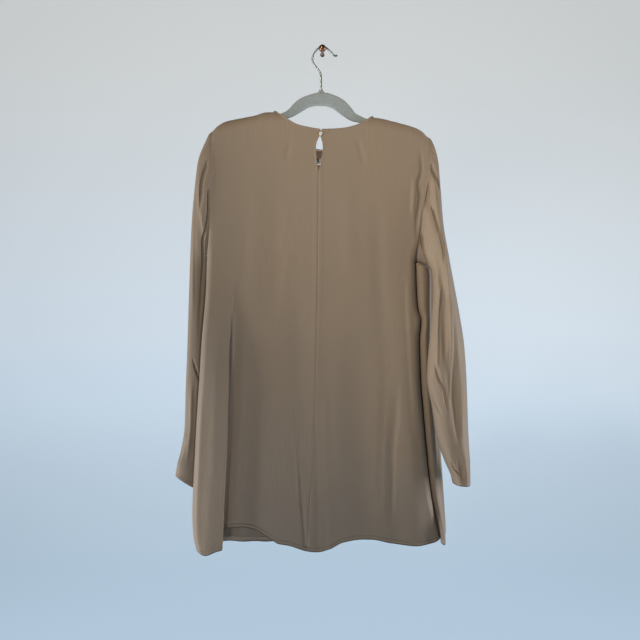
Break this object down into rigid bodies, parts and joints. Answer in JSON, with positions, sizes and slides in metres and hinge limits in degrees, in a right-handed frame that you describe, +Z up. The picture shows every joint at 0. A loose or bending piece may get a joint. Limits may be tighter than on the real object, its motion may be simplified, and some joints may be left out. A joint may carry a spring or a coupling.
{
  "type": "tunic top on a clothes hanger",
  "caption": "Long-sleeved A-line tunic top with a round neck and a keyhole back, hanging on a slim clothes hanger from a wall peg.",
  "frame": {"origin": "middle of the peg's flat end, on the wall", "axes": "+Z up, +Y into the wall, +X to the right as seen from the room"},
  "size_m": [0.5594, 0.0856, 0.9559],
  "materials": {
    "cloth": "soft crepe with a low sheen",
    "binding": "rolled crepe edge",
    "button": "pale and polished",
    "hanger": "flocked light grey",
    "steel": "drawn wire",
    "peg": "dark copper brown"
  },
  "bodies": {
    "root": {"back_left": "cloth", "back_right": "cloth", "front": "cloth", "sleeve_left": "cloth", "sleeve_right": "cloth", "neck_binding": "binding", "button_loop": "binding", "button": "button", "hanger_arms": "hanger", "hanger_bar": "hanger", "hanger_nub": "hanger", "hanger_hook": "steel", "wall_peg": "peg"}
  },
  "joints": []
}
